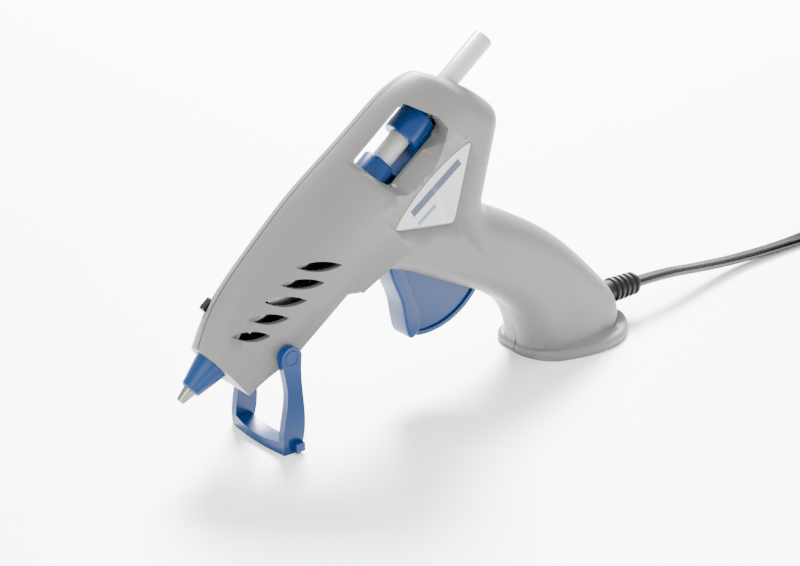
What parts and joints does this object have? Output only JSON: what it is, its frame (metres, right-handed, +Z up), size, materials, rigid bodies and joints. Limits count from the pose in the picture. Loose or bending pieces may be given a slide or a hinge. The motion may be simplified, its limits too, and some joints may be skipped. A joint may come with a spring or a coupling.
{
  "type": "hot-melt glue gun",
  "caption": "Small hot-melt glue gun on its foot and fold-out stand, with a swan-neck handle, feed trigger, through window and mains cord.",
  "frame": {"origin": "centre of the foot's flat base, in the middle plane", "axes": "+Z up, -X the way the nozzle points, +Y towards the right shell, as the tool is held"},
  "size_m": [0.4607, 0.0534, 0.1222],
  "materials": {
    "casing_grey": "matte",
    "blue_plastic": "gloss",
    "blue_sleeve": "gloss",
    "nozzle_metal": "satin",
    "spring_steel": "satin",
    "heater_ceramic": "matte",
    "heater_mica": "satin",
    "white_collar": "matte",
    "glue": "satin",
    "switch_black": "satin",
    "switch_housing": "matte",
    "badge_print": "satin",
    "wire_brown": "satin",
    "wire_blue": "satin",
    "relief_rubber": "matte",
    "cord_sheath": "gloss",
    "tie_wrap": "matte",
    "plug_black": "satin",
    "plug_brass": "gloss"
  },
  "bodies": {
    "casing": {"left_shell": "casing_grey", "right_shell": "casing_grey", "nozzle_sleeve": "blue_sleeve", "nozzle_tip": "nozzle_metal", "melting_chamber": "nozzle_metal", "heater_clip": "spring_steel", "sleeve_clamp": "spring_steel", "trigger_pin": "spring_steel", "shell_screws": "spring_steel", "clamp_screws": "spring_steel", "heater_element": "heater_ceramic", "heater_insulation": "heater_mica", "chamber_collar": "white_collar", "inlet_sleeve": "blue_plastic", "rear_guide": "blue_plastic", "switch_body": "switch_housing", "cable_clamp": "switch_housing", "badge_left": "badge_print", "badge_right": "badge_print", "live_wire": "wire_brown", "neutral_wire": "wire_blue", "strain_relief": "relief_rubber", "sheathed_end": "cord_sheath", "power_cord": "cord_sheath", "cord_hank": "cord_sheath", "cord_tail": "cord_sheath", "cord_tie": "tie_wrap", "plug_body": "plug_black", "pin_sleeves": "plug_black", "plug_pins": "plug_brass", "trigger_spring": "spring_steel"},
    "trigger": {"trigger": "blue_plastic"},
    "carriage": {"feed_carriage": "blue_plastic", "grip_pin": "spring_steel", "grip_lever": "blue_plastic"},
    "glue_stick": {"glue_stick": "glue"},
    "stand": {"stand": "blue_plastic"},
    "switch_slider": {"temperature_switch": "switch_black"}
  },
  "joints": [
    {"name": "trigger_pull", "type": "hinge", "parent": "casing", "child": "trigger", "pos_m": [-0.0698, 0, 0.0487], "axis": [0, -1, 0], "range_deg": [0, 20.5], "stiffness_Nm_per_rad": 0.1, "springref_deg": -11.46},
    {"name": "carriage_slide", "type": "slide", "parent": "casing", "child": "carriage", "axis": [-0.7869, 0, -0.617], "range_m": [0, 0.0094]},
    {"name": "stick_feed", "type": "slide", "parent": "casing", "child": "glue_stick", "axis": [-0.7869, 0, -0.617], "range_m": [0, 0.02]},
    {"name": "stand_fold", "type": "hinge", "parent": "casing", "child": "stand", "pos_m": [-0.134, 0, 0.0335], "axis": [0, -1, 0], "range_deg": [0, 108]},
    {"name": "switch_slide", "type": "slide", "parent": "casing", "child": "switch_slider", "axis": [0.7869, 0, 0.617], "range_m": [-0.0015, 0.0025]}
  ],
  "couplings": [
    {"joint": "carriage_slide", "follows": "trigger_pull", "m_per_rad": 0.02625}
  ]
}
